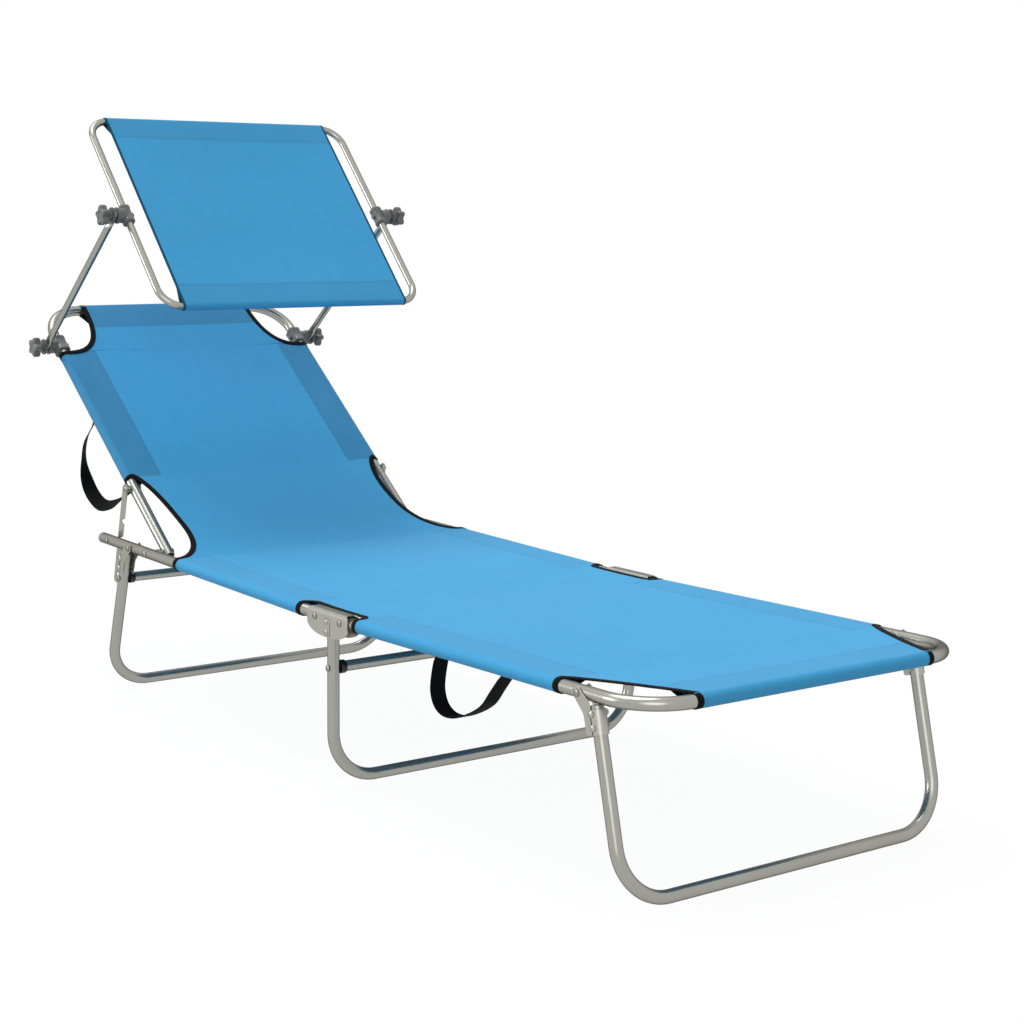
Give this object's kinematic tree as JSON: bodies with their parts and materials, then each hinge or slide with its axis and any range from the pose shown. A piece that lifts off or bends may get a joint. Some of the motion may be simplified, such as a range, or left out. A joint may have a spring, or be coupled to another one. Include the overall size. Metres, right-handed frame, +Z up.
{
  "type": "sun lounger with canopy",
  "caption": "Folding sun lounger of round tube with fabric panels, three pairs of legs, an adjustable backrest and a tilting canopy on arms.",
  "frame": {"origin": "middle of the bottom of the bounding box, on the floor", "axes": "+Z up, +Y towards the head end, +X towards the side that is on the right of a person who lies on it, face up, seen from above with the head at the top"},
  "size_m": [0.6018, 1.7627, 0.9806],
  "materials": {
    "steel_tube": "satin silver powder coat",
    "sheet_steel": "satin silver powder coat on folded sheet",
    "rivet_steel": "zinc plated",
    "grey_plastic": "moulded, fine texture",
    "pale_plastic": "moulded, smooth",
    "black_plastic": "moulded, smooth",
    "blue_fabric": "plain woven, light blue",
    "black_webbing": "woven webbing"
  },
  "bodies": {
    "seat_frame": {"seat_tube_left": "steel_tube", "seat_tube_right": "steel_tube", "tube_plug_left": "pale_plastic", "tube_plug_right": "pale_plastic", "seat_fabric": "blue_fabric", "catch_pin_left": "rivet_steel", "catch_pin_right": "rivet_steel", "backrest_pivot_left": "rivet_steel", "backrest_pivot_right": "rivet_steel"},
    "rear_legs": {"rear_leg": "steel_tube", "rear_leg_bracket_left": "sheet_steel", "rear_leg_bracket_right": "sheet_steel", "rear_leg_pivot_left": "rivet_steel", "rear_leg_pivot_right": "rivet_steel", "rear_brace": "steel_tube", "rear_brace_sleeve_left": "black_plastic", "rear_brace_sleeve_right": "black_plastic"},
    "middle_legs": {"middle_leg": "steel_tube", "fold_bracket_left": "sheet_steel", "fold_bracket_right": "sheet_steel", "seat_fold_pin_left": "rivet_steel", "seat_fold_pin_right": "rivet_steel", "foot_fold_pin_left": "rivet_steel", "foot_fold_pin_right": "rivet_steel", "middle_brace": "steel_tube", "middle_brace_sleeve_left": "black_plastic", "middle_brace_sleeve_right": "black_plastic"},
    "foot_section": {"foot_frame": "steel_tube", "foot_fabric": "blue_fabric", "foot_strap": "black_webbing"},
    "foot_legs": {"foot_leg": "steel_tube", "foot_leg_bracket_left": "sheet_steel", "foot_leg_bracket_right": "sheet_steel", "foot_leg_pivot_left": "rivet_steel", "foot_leg_pivot_right": "rivet_steel"},
    "backrest": {"backrest_frame": "steel_tube", "backrest_fabric": "blue_fabric", "backrest_strap": "black_webbing", "lower_clamp_left": "grey_plastic", "lower_clamp_right": "grey_plastic", "prop_pivot_left": "rivet_steel", "prop_pivot_right": "rivet_steel"},
    "prop_left": {"prop_bar_left": "sheet_steel"},
    "prop_right": {"prop_bar_right": "sheet_steel"},
    "canopy_arms": {"canopy_arm_left": "steel_tube", "canopy_arm_right": "steel_tube", "lower_disc_left": "grey_plastic", "lower_disc_right": "grey_plastic", "upper_disc_left": "grey_plastic", "upper_disc_right": "grey_plastic"},
    "canopy": {"canopy_frame": "steel_tube", "canopy_fabric": "blue_fabric", "upper_clamp_left": "grey_plastic", "upper_clamp_right": "grey_plastic"},
    "knob_lower_left": {"lower_knob_left": "grey_plastic"},
    "knob_lower_right": {"lower_knob_right": "grey_plastic"},
    "knob_upper_left": {"upper_knob_left": "grey_plastic"},
    "knob_upper_right": {"upper_knob_right": "grey_plastic"}
  },
  "joints": [
    {"name": "rear_leg_fold", "type": "hinge", "parent": "seat_frame", "child": "rear_legs", "pos_m": [0, 0.4471, 0.26151], "axis": [-1, 0, 0], "range_deg": [0, 105]},
    {"name": "middle_fold", "type": "hinge", "parent": "seat_frame", "child": "middle_legs", "pos_m": [0, -0.15019, 0.25], "axis": [1, 0, 0], "range_deg": [0, 90]},
    {"name": "foot_section_fold", "type": "hinge", "parent": "middle_legs", "child": "foot_section", "pos_m": [0, -0.21619, 0.25], "axis": [1, 0, 0], "range_deg": [0, 90]},
    {"name": "foot_leg_fold", "type": "hinge", "parent": "foot_section", "child": "foot_legs", "pos_m": [0, -0.75462, 0.25902], "axis": [1, 0, 0], "range_deg": [0, 102.5], "deforming": ["foot_strap"]},
    {"name": "backrest_recline", "type": "hinge", "parent": "seat_frame", "child": "backrest", "pos_m": [0, 0.39071, 0.26042], "axis": [1, 0, 0], "range_deg": [-37, 75]},
    {"name": "prop_swing_left", "type": "hinge", "parent": "backrest", "child": "prop_left", "pos_m": [0, 0.50875, 0.35298], "axis": [1, 0, 0], "range_deg": [-19, 10]},
    {"name": "prop_swing_right", "type": "hinge", "parent": "backrest", "child": "prop_right", "pos_m": [0, 0.50875, 0.35298], "axis": [1, 0, 0], "range_deg": [-19, 10]},
    {"name": "canopy_arm_swing", "type": "hinge", "parent": "backrest", "child": "canopy_arms", "pos_m": [0, 0.7948, 0.57727], "axis": [1, 0, 0], "range_deg": [-70, 40]},
    {"name": "canopy_tilt", "type": "hinge", "parent": "canopy_arms", "child": "canopy", "pos_m": [0, 0.51213, 0.81446], "axis": [1, 0, 0], "range_deg": [-60, 30]},
    {"name": "lower_knob_turn_left", "type": "hinge", "parent": "backrest", "child": "knob_lower_left", "pos_m": [0, 0.7948, 0.57727], "axis": [1, 0, 0], "continuous": true},
    {"name": "lower_knob_turn_right", "type": "hinge", "parent": "backrest", "child": "knob_lower_right", "pos_m": [0, 0.7948, 0.57727], "axis": [1, 0, 0], "continuous": true},
    {"name": "upper_knob_turn_left", "type": "hinge", "parent": "canopy", "child": "knob_upper_left", "pos_m": [0, 0.51213, 0.81446], "axis": [1, 0, 0], "continuous": true},
    {"name": "upper_knob_turn_right", "type": "hinge", "parent": "canopy", "child": "knob_upper_right", "pos_m": [0, 0.51213, 0.81446], "axis": [1, 0, 0], "continuous": true}
  ],
  "couplings": [
    {"joint": "prop_swing_left", "follows": "backrest_recline", "ratio": -0.25},
    {"joint": "prop_swing_right", "follows": "backrest_recline", "ratio": -0.25}
  ]
}
